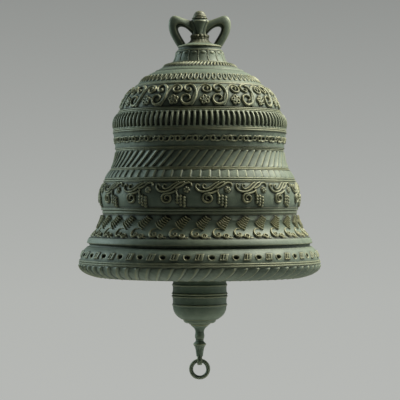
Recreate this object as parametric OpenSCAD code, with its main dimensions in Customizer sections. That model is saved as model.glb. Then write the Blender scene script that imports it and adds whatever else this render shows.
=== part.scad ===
// Hanging bronze bell with a two-loop crown, a free-swinging clapper and a pull ring.
// The frame's origin is the point that the bell hangs from, on its axis, level with the
// underside of the crown loops. The bell hangs along -Z and the loops stand in the XZ plane.

/* [Crown] */
// Drop from the hanging point to the top of the crown plate
crown_drop = 31; // [30:0.5:34]
// Radius of the crown plate
plate_r = 34; // [32:0.5:35]
// Thickness of the crown plate
plate_t = 5.5; // [4:0.5:8]
// Radius of the column's narrow waist, under the flare
column_r = 11; // [10:0.5:11.5]
// Radius of the column's flared top
column_top_r = 13.8; // [13:0.2:14.5]
// Height of the column's top above the hanging point
column_top = 10; // [9:0.5:12]
// Distance from the axis to the outer side of a loop
loop_reach = 46.6; // [44:0.2:49]
// Height of a loop's top above the hanging point, which is the thickness of its bar
loop_rise = 16.6; // [15:0.2:18]
// Half depth of the loop bar, front to back
loop_depth = 6.4; // [5:0.1:7.5]
// Radius of one bead of the column's bead ring
crown_bead_r = 3.3; // [3:0.1:3.4]
// Number of beads round the column
crown_beads = 14; // [12:1:14]

/* [Fixing bolt] */
// Radius of the eye bolt's shank
bolt_r = 6; // [5.5:0.1:6.5]
// Radius of the bolt's threaded end, in the finial nut
thread_r = 4; // [3.5:0.1:4.5]
// Thickness of the leather gasket under the crown
gasket_t = 1.5; // [1:0.1:2.5]
// Radius of the finial washer
washer_r = 10.8; // [10:0.2:12]
// Thickness of the finial washer
washer_t = 3.6; // [3:0.2:4.5]
// Height of the finial nut
finial_h = 10; // [9:0.5:13]
// Drop from the top of the bell's head to the bolt's eye
eye_drop = 42; // [40:1:50]

/* [Bell radii] */
// Radius at the top of the neck
neck_r = 35.5; // [35:0.5:37]
// Radius at the top of the dome
dome_r = 98.5; // [97:0.5:101]
// Largest radius of the shoulder, at the upright flutes
shoulder_r = 131.5; // [129:0.5:134]
// Smallest radius of the waist, above the slanted flutes
waist_r = 126.4; // [124:0.5:128]
// Radius of the vine band at its foot
vine_r = 149.5; // [148:0.5:151]
// Largest radius of the bell, at the edge of the lip
lip_r = 182; // [178:0.5:186]
// Distance from the lip's edge in to the mouth
mouth_in = 31; // [28:0.5:34]
// Thickness of the wall, bands included
wall = 11; // [10:0.5:13]

/* [Bell band heights] */
// Height of the petal band round the neck
neck_h = 16.5; // [15:0.5:18]
// Height of the rope moulding
rope_h = 9; // [8:0.5:11]
// Height of the plain ledge under the rope
ledge_h = 11.5; // [10:0.5:13]
// Height of the tongue band
tongue_h = 11.5; // [10:0.5:13]
// Height of the thin moulding above the dome
cove_h = 3.5; // [3:0.5:5]
// Height of the scroll band on the dome
dome_h = 36.5; // [34:0.5:39]
// Height of the plain lead above the upright flutes
lead_h = 5; // [4:0.5:7]
// Height of the upright flutes' band
flute_h = 24; // [22:0.5:26]
// Height of the chain band
chain_h = 22.5; // [20:0.5:25]
// Height of the slanted flutes' band
slant_h = 24.5; // [22:0.5:27]
// Height of the band of bars
bar_h = 11; // [9:0.5:13]
// Height of the vine band
vine_h = 38; // [36:0.5:40]
// Height of the leaf band
leaf_h = 35; // [33:0.5:37]
// Height of the plain moulding under the leaves
plain_h = 11; // [10:0.5:13]
// Height of the lip's studded band
lip_h = 22; // [20:0.5:25]
// Height of the lip's sharp edge
edge_h = 6; // [5:0.5:8]
// Height of the gadroons under the lip
gadroon_h = 20; // [18:0.5:23]
// Height of a thin fillet between two bands
fillet_h = 5; // [4:0.5:6]

/* [Ornament counts] */
// Motifs round the dome, the neck and the vine
motifs = 16; // [12:1:17]
// Upright flutes round the shoulder
flutes = 98; // [90:1:104]
// Slanted flutes, bars, tongues, rope strands and gadroons
strands = 64; // [56:1:68]
// Studs round the lip, leaves and links of the chain
studs = 32; // [28:1:36]

/* [Clapper] */
// Drop from the mouth of the bell to the belt of the drum
drum_drop = 27.5; // [24:0.5:36]
// Radius of the drum at its belt
drum_r = 43.4; // [40:0.2:46]
// Height of the drum below its belt
drum_half = 36; // [34:1:40]
// Thickness of the stepped disc under the drum
disc_h = 8; // [7:0.5:10]
// Length of the tail spindle, from the disc to the ring's hole
tail_h = 54; // [50:1:60]
// Radius of the rod above the drum
rod_r = 8; // [7:0.2:10]
// Radius of the rod where it passes through the drum
core_r = 7; // [6.5:0.1:7.5]
// Radius of the shackle pin
pin_r = 6; // [5:0.1:6.5]
// Radius of the shackle's bar
bow_wire_r = 5; // [4.5:0.1:5.4]
// Distance from the pin to the middle of the shackle's bow
bow_drop = 28; // [26:1:34]
// Radius of the clapper eye's wire
eye_wire_r = 4; // [3.5:0.1:4.3]

/* [Pull ring] */
// Radius of the ring, to the middle of its wire
ring_r = 13.05; // [12.8:0.05:15]
// Radius of the ring's wire
ring_wire_r = 3.25; // [2.8:0.05:3.4]
// Width of the lug that holds the ring
lug_w = 7; // [6:0.2:7.6]

/* [Hidden] */
$fn = 64;

bronze = [0.36, 0.43, 0.38];
bronze_light = [0.45, 0.50, 0.42];
iron = [0.25, 0.25, 0.25];
leather = [0.33, 0.23, 0.15];

// Running clearance of a pin or bolt in its hole, on the radius
fit_gap = 0.08;
// Clearance of the fixing bolt in the castings that it ties together
bolt_gap = 0.3;
// Film of solder between a band and the wall behind it
seat_gap = 0.1;
// Depth to which cast-on ornament reaches under a band's face
cast_depth = 2.6;
// The leaf band is hollow in profile and thin across its foot, so its ornament roots less deep
leaf_root = 1.6;
// Share of a motif's pitch by which the ornament is turned against the front
front_turn = 0.16;
// Depth of a band where it stands on a steep wall, and on the flat shoulder
band_t = 4;
shoulder_band_t = 7;

// Levels down the bell, from the hanging point. Each is the top of what it names
z_plate = -crown_drop;
z_gasket = z_plate - plate_t;
z_neck = z_gasket - gasket_t;
z_rope = z_neck - neck_h;
z_ledge = z_rope - rope_h;
z_tongue = z_ledge - ledge_h;
z_cove = z_tongue - tongue_h;
z_dome = z_cove - cove_h;
z_lead = z_dome - dome_h;
z_flute = z_lead - lead_h;
z_chain = z_flute - flute_h - fillet_h;
z_slant = z_chain - chain_h - fillet_h;
z_bar = z_slant - slant_h - 0.8 * fillet_h;
z_vine = z_bar - bar_h - 1.2 * fillet_h;
z_leaf = z_vine - vine_h - 1.8 * fillet_h;
z_plain = z_leaf - leaf_h;
z_lip = z_plain - plain_h;
z_edge = z_lip - lip_h;
z_gadroon = z_edge - edge_h;
z_mouth = z_gadroon - gadroon_h;

// Points of a circular arc from p down to q, that stands s proud of their chord
function arc_line(p, q, s, n = 6) =
    let (c = norm(q - p))
    let (d = (q - p) / c)
    let (out = [-d[1], d[0]])
    let (r = (c * c / 4 + s * s) / (2 * s))
    let (a = asin(c / (2 * r)))
    let (mid = (p + q) / 2 - out * (r - s))
    [for (i = [0:n]) let (f = a * (1 - 2 * i / n)) mid + r * cos(f) * out - r * sin(f) * d];

function inset(line, t) = [for (p = line) [p[0] - t, p[1]]];
function reversed(line) = [for (i = [len(line) - 1:-1:0]) line[i]];
function middle(line, u) =
    let (at = u * (len(line) - 1))
    let (i = min(floor(at), len(line) - 2))
    line[i] + (line[i + 1] - line[i]) * (at - i);

// The wall's own outline behind a band: a step in, down the band's back, and a step out
function recess(line, t) = concat([line[0]], inset(line, t + seat_gap), [line[len(line) - 1]]);

// Two thin ridges with a groove between them, from radius a at level z to radius b below
function fillets(a, b, z, h, groove) = [
    [a, z - 0.30 * h], [a + 0.25 * (b - a) - groove, z - 0.42 * h],
    [a + 0.75 * (b - a) - groove, z - 0.58 * h], [b, z - 0.70 * h]
];

// Outlines of the bands, top to bottom
neck_foot_r = neck_r + 5.5;
rope_top_r = neck_foot_r + 5;
rope_foot_r = rope_top_r + 14;
tongue_top_r = dome_r - 16;
tongue_foot_r = dome_r - 5.5;
dome_foot_r = shoulder_r - 11.2;
flute_top_r = shoulder_r - 6;
flute_foot_r = shoulder_r - 1;
chain_foot_r = waist_r + 1;
slant_foot_r = waist_r + 6.6;
bar_top_r = slant_foot_r + 2;
bar_foot_r = vine_r - 7.5;
vine_top_r = vine_r - 5.5;
leaf_top_r = vine_r - 4.5;
leaf_foot_r = lip_r - 16.5;
lip_top_r = lip_r - 12;
lip_foot_r = lip_r - 3;
mouth_r = lip_r - mouth_in;
gadroon_foot_r = mouth_r + 5;

neck_line = arc_line([neck_r, z_neck], [neck_foot_r, z_rope], -0.8, 4);
rope_line = arc_line([rope_top_r, z_rope], [rope_foot_r, z_ledge], 1.2, 4);
tongue_line = arc_line([tongue_top_r, z_tongue], [tongue_foot_r, z_cove], 1.0, 4);
dome_line = arc_line([dome_r, z_dome], [dome_foot_r, z_lead], 3.2, 4);
flute_line = arc_line([flute_top_r, z_flute], [flute_foot_r, z_flute - flute_h], 4.2, 5);
chain_line = arc_line([flute_foot_r, z_chain], [chain_foot_r, z_chain - chain_h], -0.6, 4);
slant_line = arc_line([waist_r, z_slant], [slant_foot_r, z_slant - slant_h], -1.0, 5);
bar_line = arc_line([bar_top_r, z_bar], [bar_foot_r, z_bar - bar_h], 0.4, 3);
vine_line = arc_line([vine_top_r, z_vine], [vine_r, z_vine - vine_h], 3.4, 4);
leaf_line = arc_line([leaf_top_r, z_leaf], [leaf_foot_r, z_plain], -4.2, 5);
lip_line = arc_line([lip_top_r, z_lip], [lip_foot_r, z_edge], 3.0, 6);
gadroon_line = arc_line([lip_r - 2, z_gadroon], [gadroon_foot_r, z_mouth], 4, 5);
gadroon_back = [[gadroon_foot_r - 2, z_mouth], [lip_r - 11, z_gadroon]];

wall_outside = concat(
    [[0, z_neck]],
    recess(neck_line, band_t),
    recess(rope_line, shoulder_band_t),
    [[rope_foot_r + 1, z_ledge], [rope_foot_r + 7, z_ledge - 0.17 * ledge_h]],
    arc_line([rope_foot_r + 8, z_ledge - 0.35 * ledge_h], [tongue_top_r - 0.6, z_tongue], 0.8, 4),
    recess(tongue_line, shoulder_band_t),
    [[tongue_foot_r + 2.2, z_cove], [tongue_foot_r + 3.2, z_cove - 0.35 * cove_h],
     [tongue_foot_r + 2.8, z_cove - 0.6 * cove_h], [dome_r - 0.8, z_dome]],
    recess(dome_line, band_t + 2),
    [[dome_foot_r + 1.7, z_lead - 0.1 * lead_h], [dome_foot_r + 1.7, z_lead - 0.5 * lead_h],
     [flute_top_r - 3, z_lead - 0.75 * lead_h]],
    recess(flute_line, band_t + 1),
    fillets(flute_foot_r + 0.4, flute_foot_r + 0.2, z_flute - flute_h, fillet_h, 1.2),
    recess(chain_line, band_t),
    fillets(chain_foot_r + 0.4, waist_r + 0.4, z_chain - chain_h, fillet_h, 1.2),
    recess(slant_line, band_t + 0.5),
    fillets(slant_foot_r + 0.6, bar_top_r + 0.6, z_slant - slant_h, 0.8 * fillet_h, 1.4),
    recess(bar_line, band_t),
    fillets(bar_foot_r + 0.8, vine_top_r + 0.2, z_bar - bar_h, 1.2 * fillet_h, 1.6),
    recess(vine_line, band_t),
    fillets(vine_r - 1, leaf_top_r + 1.4, z_vine - vine_h, 1.8 * fillet_h, 1.6),
    recess(leaf_line, band_t),
    arc_line([leaf_foot_r, z_plain], [lip_top_r - 0.8, z_plain - 0.84 * plain_h], 1.4, 4),
    [[lip_top_r - 4, z_lip + 0.12 * plain_h], [lip_top_r - 4, z_lip + 0.04 * plain_h]],
    recess(lip_line, band_t),
    [[lip_r, z_edge - 0.3 * edge_h], [lip_r, z_edge - 0.6 * edge_h], [lip_r - 2, z_gadroon],
     [lip_r - 11 - seat_gap, z_gadroon], [gadroon_foot_r - 2 - seat_gap, z_mouth]]
);

// The hollow, from the mouth up to the underside of the head
head_t = 12;
head_in_r = neck_r - 15;
wall_inside = concat(
    [[mouth_r, z_mouth]],
    arc_line([mouth_r - 3.5, z_gadroon], [mouth_r - 3.5, z_gadroon + 0.01], 0.001, 1),
    [[leaf_foot_r - 2 * wall, z_plain + 0.1 * leaf_h],
     [middle(leaf_line, 0.5)[0] - 1.2 * wall, (z_leaf + z_plain) / 2],
     [leaf_top_r - wall, z_leaf],
     [vine_top_r - wall, z_vine],
     [slant_foot_r - wall, z_bar],
     [waist_r - wall, z_slant],
     [chain_foot_r - wall, z_slant + 0.5 * chain_h],
     [flute_top_r - wall, z_flute],
     [middle(dome_line, 0.5)[0] - 1.2 * wall, (z_dome + z_lead) / 2 - 0.4 * wall],
     [dome_r - 1.4 * wall, z_dome - 0.9 * wall],
     [tongue_top_r - 0.7 * wall, z_tongue - 1.3 * wall],
     [rope_foot_r - 0.7 * wall, z_ledge - 1.1 * wall],
     [head_in_r, z_neck - head_t],
     [0, z_neck - head_t]]
);

// Height and reach of the hanging parts
z_head_in = z_neck - head_t;
head_washer_t = 3;
lock_nut_h = 8;
z_eye = z_neck - eye_drop;
bow_r = 11;
z_bow = z_eye - bow_drop;
eye_hole_r = bow_wire_r + 0.9;
eye_r = eye_hole_r + eye_wire_r;
z_clapper_eye = z_bow - bow_r - 0.6;
z_drum = z_mouth - drum_drop;
z_drum_top = z_drum + drum_half + 12;
z_disc = z_drum - drum_half - 0.5;
z_tail = z_disc - disc_h;
z_lug = z_tail - tail_h;
lug_r = 7;
lug_hole_r = ring_wire_r + 1;
z_ring = z_lug - ring_r;

module revolve(points) rotate_extrude() polygon(points);

module band(line, t) revolve(concat(line, reversed(inset(line, t))));

// One child on a band's face at share u of its height, with its X out of the face,
// its Y along the band and its Z up the face
module on_face(line, u, count, turn = 0) {
    p = middle(line, u);
    d = middle(line, min(1, u + 0.08)) - middle(line, max(0, u - 0.08));
    for (i = [0:count - 1])
        rotate([0, 0, (i + turn) * 360 / count])
            translate([p[0], 0, p[1]])
                rotate([0, atan2(-d[0], -d[1]), 0])
                    children();
}

// Flat ornament, drawn with X along the band and Y up its face

// A stroke of width w along an arc of radius r, from angle a to angle b
module arc_stroke(r, w, a, b) intersection() {
    difference() {
        circle(r + w / 2);
        circle(r - w / 2);
    }
    polygon(concat([[0, 0]], [for (i = [0:4]) let (f = a + (b - a) * i / 4) 2 * r * [cos(f), sin(f)]]));
}

// A volute of half rings, each two thirds of the last, that starts downwards at [r, 0]
module volute(r, w, halves) {
    q = 0.66;
    for (k = [0:halves - 1])
        translate([-r * (1 - q) * (1 - pow(-q, k)) / (1 + q), 0])
            arc_stroke(r * pow(q, k), w, k % 2 == 0 ? -180 : 0, k % 2 == 0 ? 0 : 180);
}

module blossom(r, petals) {
    circle(0.55 * r);
    for (i = [0:petals - 1])
        rotate(i * 360 / petals) translate([0.62 * r, 0]) circle(0.38 * r);
}

// A pointed leaf of length l and width w, upright
module leaf(l, w) {
    r = (l * l + w * w) / (4 * w);
    intersection_for (side = [-1, 1])
        translate([side * (r - w / 2), 0]) circle(r);
}

// A flat ornament cast on to a band, h proud of its face and rooted a little below it
module cast_on(line, u, count, turn, h, root = cast_depth)
    on_face(line, u, count, turn)
        translate([-root, 0, 0]) rotate([90, 0, 90]) linear_extrude(root + h) children();

function bezier(a, b, c, d, n, first = 0) = [
    for (i = [first:n]) let (u = i / n)
        pow(1 - u, 3) * a + 3 * u * pow(1 - u, 2) * b + 3 * u * u * (1 - u) * c + pow(u, 3) * d
];

// A bar in the XZ plane between an outer and an inner edge line. Its section has a ridge
// front and back, nearer to the outer edge. The values are shares of half width and depth
bar_section = [[1, 0.3], [0.8, 0.75], [0.3, 1], [-0.5, 0.72], [-0.9, 0.5], [-1, 0.2],
               [-1, -0.2], [-0.9, -0.5], [-0.5, -0.72], [0.3, -1], [0.8, -0.75], [1, -0.3]];

module edged_bar(outer, inner, depth) {
    n = len(outer);
    sides = len(bar_section);
    points = [for (i = [0:n - 1]) for (s = bar_section)
        let (p = (outer[i] + inner[i]) / 2 + s[0] * (outer[i] - inner[i]) / 2)
        [p[0], depth * s[1], p[1]]];
    skin = [for (i = [0:n - 2]) for (k = [0:sides - 1])
        let (k2 = (k + 1) % sides)
        each [[i * sides + k, (i + 1) * sides + k, (i + 1) * sides + k2],
              [i * sides + k, (i + 1) * sides + k2, i * sides + k2]]];
    caps = [[for (k = [0:sides - 1]) k],
            [for (k = [sides - 1:-1:0]) (n - 1) * sides + k]];
    polyhedron(points = points, faces = concat(skin, caps));
}

// Crown

z_bead = -0.52 * crown_drop;
foot_step = 4;

// Edge lines of a loop: up the side, round the corner and back to the column
loop_foot = plate_r - 4;
loop_in = loop_reach - 14.4;
loop_corner = loop_reach - 9.6;
loop_outer = concat(
    bezier([loop_foot, z_plate - 3], [loop_foot + 8, z_plate + 11], [loop_reach + 0.6, -9], [loop_reach, 5], 8),
    bezier([loop_reach, 5], [loop_reach - 0.4, 12], [loop_corner + 5, loop_rise + 0.3], [loop_corner, loop_rise], 6, 1),
    bezier([loop_corner, loop_rise], [loop_corner - 7, loop_rise - 1], [24, 11], [column_r - 3, column_top - 2], 8, 1)
);
loop_inner = concat(
    bezier([loop_foot - 13, z_plate - 2], [loop_foot - 8, z_plate + 8], [loop_in + 0.6, -9], [loop_in, -3], 8),
    bezier([loop_in, -3], [loop_in - 0.2, -1.2], [loop_in - 2, 0], [loop_in - 4, 0], 6, 1),
    bezier([loop_in - 4, 0], [loop_in - 11, 0], [16, -5], [column_r - 3, z_bead + 1], 8, 1)
);

module crown_loop() edged_bar(loop_outer, loop_inner, loop_depth);

module crown_profile() {
    cone_top = z_bead - 0.7 * crown_bead_r;
    flare = z_bead + 0.7 * crown_bead_r;
    revolve(concat(
        [[0, z_gasket], [plate_r - 0.5, z_gasket], [plate_r, z_gasket + 1],
         [plate_r, z_plate - 1.2], [plate_r - 1.4, z_plate], [plate_r - 12, z_plate],
         [plate_r - 12.5, z_plate + 2], [column_r + 6, z_plate + foot_step - 1.5]],
        reversed(arc_line([column_r + 1.2, cone_top], [column_r + 4.8, z_plate + foot_step], -0.6, 4)),
        [[column_r, cone_top + 0.5], [column_r, flare]],
        reversed(arc_line([column_top_r, column_top - 3], [column_r, flare], -1.6, 6)),
        [[column_top_r - 1, column_top], [0, column_top]]
    ));
}

module crown_casting() color(bronze) difference() {
    union() {
        crown_profile();
        crown_loop();
        mirror([1, 0, 0]) crown_loop();
        for (i = [0:crown_beads - 1])
            rotate([0, 0, i * 360 / crown_beads])
                translate([column_r + 0.2, 0, z_bead])
                    sphere(r = crown_bead_r, $fn = 24);
    }
    translate([0, 0, z_gasket - 1]) cylinder(r = bolt_r + bolt_gap, h = column_top - z_gasket + 2);
}

module finial_washer() color(bronze_light) difference() {
    revolve([[0, column_top], [washer_r - 1.6, column_top], [washer_r, column_top + 0.35 * washer_t],
             [washer_r - 0.4, column_top + 0.7 * washer_t], [washer_r - 2, column_top + washer_t],
             [0, column_top + washer_t]]);
    translate([0, 0, column_top - 1]) cylinder(r = thread_r + bolt_gap, h = washer_t + 2);
}

module finial_nut() color(bronze_light) {
    base = column_top + washer_t;
    difference() {
        revolve(concat(
            [[0, base], [washer_r - 2.4, base]],
            reversed(arc_line([washer_r - 3, base + 0.44 * finial_h], [washer_r - 2.4, base], 1.2, 5)),
            reversed(arc_line([0.6, base + finial_h], [washer_r - 4, base + 0.5 * finial_h], 2.4, 6)),
            [[0, base + finial_h]]
        ));
        translate([0, 0, base - 1]) cylinder(r = thread_r + fit_gap, h = 0.62 * finial_h + 1);
    }
}

module crown_gasket() color(leather) translate([0, 0, z_neck]) difference() {
    cylinder(r = plate_r - 1.5, h = gasket_t);
    translate([0, 0, -1]) cylinder(r = bolt_r + bolt_gap, h = gasket_t + 2);
}

// Fixing bolt, under the head

module eye_bolt() color(iron) {
    shoulder = column_top - 1;
    eye_out_r = pin_r + 7;
    eye_half = ear_gap - 0.6;
    shank_foot = z_eye + ear_r + 0.4;
    difference() {
        union() {
            translate([0, 0, shank_foot]) cylinder(r = bolt_r, h = shoulder - shank_foot);
            translate([0, 0, shoulder - 1])
                cylinder(r = thread_r, h = 2 + washer_t + 0.5 * finial_h);
            translate([0, 0, z_eye]) rotate([0, 90, 0]) cylinder(r = eye_out_r, h = 2 * eye_half, center = true);
        }
        translate([0, 0, z_eye]) rotate([0, 90, 0]) cylinder(r = pin_r + fit_gap, h = 20, center = true);
    }
}

module head_washer() color(iron) translate([0, 0, z_head_in - head_washer_t]) difference() {
    cylinder(r = head_in_r - 2.5, h = head_washer_t);
    translate([0, 0, -1]) cylinder(r = bolt_r + bolt_gap, h = head_washer_t + 2);
}

module lock_nut() color(iron)
    translate([0, 0, z_head_in - head_washer_t - lock_nut_h]) difference() {
        cylinder(r = bolt_r + 5, h = lock_nut_h, $fn = 6);
        translate([0, 0, -1]) cylinder(r = bolt_r + fit_gap, h = lock_nut_h + 2);
    }

// Bell

module bell_wall() color(bronze) difference() {
    revolve(concat(wall_outside, wall_inside));
    translate([0, 0, z_head_in - 1]) cylinder(r = bolt_r + bolt_gap, h = head_t + 2);
}

module neck_petal_band() color(bronze_light) difference() {
    band(neck_line, band_t);
    on_face(neck_line, 0.55, motifs) cube([2.4, 1.2, 0.8 * neck_h], center = true);
    on_face(neck_line, 0.2, motifs, 0.5) cube([1.2, 9, 1], center = true);
}

module rope_band() color(bronze_light) difference() {
    band(rope_line, shoulder_band_t);
    on_face(rope_line, 0.5, strands) rotate([-40, 0, 0]) cylinder(r = 0.9, h = 1.2 * rope_h, center = true, $fn = 16);
}

module tongue_band() color(bronze_light) difference() {
    band(tongue_line, shoulder_band_t);
    on_face(tongue_line, 0.5, strands) translate([0.6, 0, 0]) cylinder(r = 2, h = tongue_h + 1, center = true, $fn = 24);
}

// Each motif of the dome has a blossom, a stem with a curl at its top, and an S-scroll
module dome_scroll_band() color(bronze) union() {
    band(dome_line, band_t + 2);
    cast_on(dome_line, 0.69, motifs, front_turn, 1.9) blossom(5.6, 5);
    cast_on(dome_line, 0.72, motifs, front_turn + 0.415, 2) mirror([1, 0]) volute(8.4, 3.2, 3);
    cast_on(dome_line, 0.36, motifs, front_turn + 0.40, 2) {
        rotate(-20) volute(4.6, 2.6, 2);
        arc_stroke(12, 3.4, -22, 112);
    }
    cast_on(dome_line, 0.36, motifs, front_turn + 0.05, 2) volute(5.4, 2.8, 3);
    cast_on(dome_line, 0.60, motifs, front_turn - 0.27, 2) translate([24, -4]) arc_stroke(26, 4.4, 148, 196);
}

module flute_band() color(bronze) difference() {
    band(flute_line, band_t + 1);
    on_face(flute_line, 0.58, flutes) translate([0.9, 0, 0]) cylinder(r = 3.1, h = 1.05 * flute_h, center = true, $fn = 24);
}

module chain_band() color(bronze) difference() {
    band(chain_line, band_t);
    on_face(chain_line, 0.5, studs) sphere(r = 1.8, $fn = 24);
}

module slant_flute_band() color(bronze) difference() {
    band(slant_line, band_t + 0.5);
    on_face(slant_line, 0.5, strands) rotate([-49, 0, 0]) cylinder(r = 1.5, h = 2 * slant_h, center = true, $fn = 16);
}

module bar_band() color(bronze_light) difference() {
    band(bar_line, band_t);
    on_face(bar_line, 0.5, strands) cube([2, 1.6, bar_h - 2], center = true);
}

// Each motif of the vine has a wavy tendril, a volute, a blossom and a bunch of grapes
module vine_band() color(bronze) union() {
    band(vine_line, band_t);
    cast_on(vine_line, 0.62, motifs, front_turn, 1.8) volute(6.2, 2.8, 3);
    cast_on(vine_line, 0.34, motifs, front_turn - 0.05, 1.8) {
        translate([0, 17]) arc_stroke(18, 2.6, -132, -48);
        translate([-11.4, 1.6]) arc_stroke(4.2, 2.2, 60, 250);
    }
    cast_on(vine_line, 0.30, motifs, front_turn + 0.49, 1.8) blossom(5, 6);
    cast_on(vine_line, 0.66, motifs, front_turn + 0.345, 2.2) {
        square([9, 8], center = true);
        for (column = [-1:1], row = [-1:1])
            translate([4.3 * column, 4.2 * row - 1.2 * column]) circle(2.5);
    }
}

// Each motif of the leaf band has a leaf that leans to the right over a hook
module leaf_band() color(bronze) union() {
    band(leaf_line, band_t);
    cast_on(leaf_line, 0.80, studs, -2 * front_turn, 1.6, leaf_root) arc_stroke(4.2, 2.6, -200, 60);
    cast_on(leaf_line, 0.36, studs, 0.1, 1.6, leaf_root) rotate(-40) leaf(22, 10);
}

module lip_stud_band() color(bronze_light) difference() {
    union() {
        band(lip_line, band_t);
        on_face(lip_line, 0.62, studs, 0.5) cube([2, 9, 9], center = true);
    }
    on_face(lip_line, 0.62, studs) rotate([0, 90, 0]) cylinder(r = 3, h = 4, center = true, $fn = 24);
}

module gadroon_band() color(bronze) difference() {
    revolve(concat(gadroon_line, gadroon_back));
    on_face(gadroon_line, 0.42, strands) rotate([-35, 0, 0]) cylinder(r = 1.3, h = 1.6 * gadroon_h, center = true, $fn = 16);
}

// Shackle

ear_w = 2 * bow_wire_r + 0.8;
ear_gap = bow_r - ear_w / 2;
ear_r = pin_r + 5;

module shackle_pin() color(iron) difference() {
    translate([0, 0, z_eye]) rotate([0, 90, 0]) union() {
        translate([0, 0, -ear_gap - ear_w - 5]) cylinder(r = pin_r + 3, h = 4.7);
        translate([0, 0, -ear_gap - ear_w - 1]) cylinder(r = pin_r, h = 2 * (ear_gap + ear_w) + 8);
    }
    translate([ear_gap + ear_w + 3.5, 0, z_eye]) cylinder(r = 1.5 + fit_gap, h = 4 * pin_r, center = true);
}

module cotter_pin() color(iron) {
    leg = pin_r + 3.6;
    translate([ear_gap + ear_w + 3.5, 0, z_eye]) union() {
        cylinder(r = 1.5, h = 2 * leg - 3.5, center = true);
        translate([0, 0, leg]) rotate([90, 0, 0])
            rotate_extrude($fn = 32) translate([2.2, 0]) circle(r = 1, $fn = 16);
    }
}

module shackle_bow() color(iron) difference() {
    union() {
        for (side = [-1, 1]) translate([side * bow_r, 0, 0]) {
            translate([0, 0, z_eye]) rotate([0, 90, 0]) cylinder(r = ear_r, h = ear_w, center = true);
            translate([0, 0, z_bow]) cylinder(r = bow_wire_r, h = bow_drop - pin_r - 2);
        }
        translate([0, 0, z_bow]) rotate([90, 0, 0]) rotate([0, 0, 180])
            rotate_extrude(angle = 180, $fn = 48) translate([bow_r, 0]) circle(r = bow_wire_r, $fn = 32);
    }
    translate([0, 0, z_eye]) rotate([0, 90, 0]) cylinder(r = pin_r + fit_gap, h = 60, center = true);
}

// Clapper

module clapper_rod() color(iron) {
    eye_foot = z_clapper_eye - eye_r;
    collar_h = 6;
    union() {
        translate([0, 0, z_clapper_eye]) rotate([0, 90, 0])
            rotate_extrude($fn = 48) translate([eye_r, 0]) circle(r = eye_wire_r, $fn = 32);
        translate([0, 0, z_drum_top]) cylinder(r1 = rod_r + 1, r2 = rod_r - 1, h = eye_foot - z_drum_top);
        translate([0, 0, z_drum_top]) cylinder(r = rod_r + 8, h = collar_h);
        translate([0, 0, z_tail + 0.5]) cylinder(r = core_r, h = z_drum_top - z_tail);
        translate([0, 0, z_tail - 11]) cylinder(r = core_r - 2, h = 13);
    }
}

// The drum's half outline above its belt, which the lower half mirrors
function drum_side(up) = [
    [drum_r - 1, 0.5 * up], [drum_r, 1.4 * up], [drum_r, 2.6 * up], [drum_r - 1, 4.2 * up],
    [drum_r - 1.9, 8.5 * up], [drum_r - 1.6, 13.5 * up], [drum_r - 1.4, 16 * up], [drum_r - 1.8, 17.5 * up]
];

module drum_upper() color(bronze) difference() {
    revolve(concat(
        [[0, z_drum], [drum_r - 1, z_drum]],
        [for (p = drum_side(1)) [p[0], z_drum + p[1]]],
        reversed(arc_line([drum_r - 19, z_drum_top - 10], [drum_r - 2, z_drum + 18.2], 3.6, 5)),
        [[drum_r - 21, z_drum_top - 10], [drum_r - 24, z_drum_top - 5], [rod_r + 10, z_drum_top - 4],
         [rod_r + 9, z_drum_top], [0, z_drum_top]]
    ));
    translate([0, 0, z_drum - 1]) cylinder(r = core_r + 0.1, h = z_drum_top - z_drum + 2);
}

module drum_lower() color(bronze) difference() {
    revolve(concat(
        [[0, z_drum], [drum_r - 1, z_drum]],
        [for (p = drum_side(-1)) [p[0], z_drum + p[1]]],
        arc_line([drum_r - 2, z_drum - 18.2], [drum_r - 12.6, z_disc + 1.5], 2.6, 5),
        [[drum_r - 14.5, z_disc], [0, z_disc]]
    ));
    translate([0, 0, z_disc - 1]) cylinder(r = core_r + 0.1, h = z_drum - z_disc + 2);
}

module drum_disc() color(bronze) difference() {
    top_r = drum_r - 18.5;
    low_r = drum_r - 28;
    revolve([[0, z_disc], [top_r, z_disc], [top_r, z_disc - 1.2], [top_r - 1.6, z_disc - 4.2],
             [top_r - 3.6, z_disc - 5.6], [low_r + 1, z_disc - 5.6], [low_r, z_tail], [0, z_tail]]);
    translate([0, 0, z_tail - 1]) cylinder(r = core_r + 0.1, h = disc_h + 2);
}

module tail_spindle() color(bronze) difference() {
    union() {
        revolve(concat(
            [[0, z_tail], [13.4, z_tail], [12.6, z_tail - 1.8]],
            arc_line([11.4, z_tail - 2.6], [7.2, z_tail - 10.5], -2.0, 4),
            [[8, z_tail - 0.324 * tail_h], [6.8, z_tail - 0.417 * tail_h], [6.9, z_tail - 0.472 * tail_h],
             [9.9, z_tail - 0.548 * tail_h], [8.3, z_tail - 0.593 * tail_h], [6, z_tail - 0.722 * tail_h],
             [4.9, z_tail - 0.852 * tail_h], [4.9, z_lug + lug_r - 1], [0, z_lug + lug_r - 1]]
        ));
        translate([0, 0, z_lug + 4.4]) sphere(r = 6.3, $fn = 32);
        translate([0, 0, z_lug]) rotate([0, 90, 0]) cylinder(r = lug_r, h = lug_w, center = true);
    }
    translate([0, 0, z_tail - 12]) cylinder(r = core_r - 2 + fit_gap, h = 13);
    translate([0, 0, z_lug]) rotate([0, 90, 0]) cylinder(r = lug_hole_r, h = 30, center = true);
    for (side = [-1, 1])
        translate([side * (lug_w / 2 + 10), 0, z_lug]) rotate([0, 90, 0])
            cylinder(r = ring_wire_r + 2.2, h = 20, center = true);
}

module pull_ring() color(bronze) translate([0, 0, z_ring]) rotate([90, 0, 0])
    rotate_extrude($fn = 64) translate([ring_r, 0]) circle(r = ring_wire_r, $fn = 32);

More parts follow.
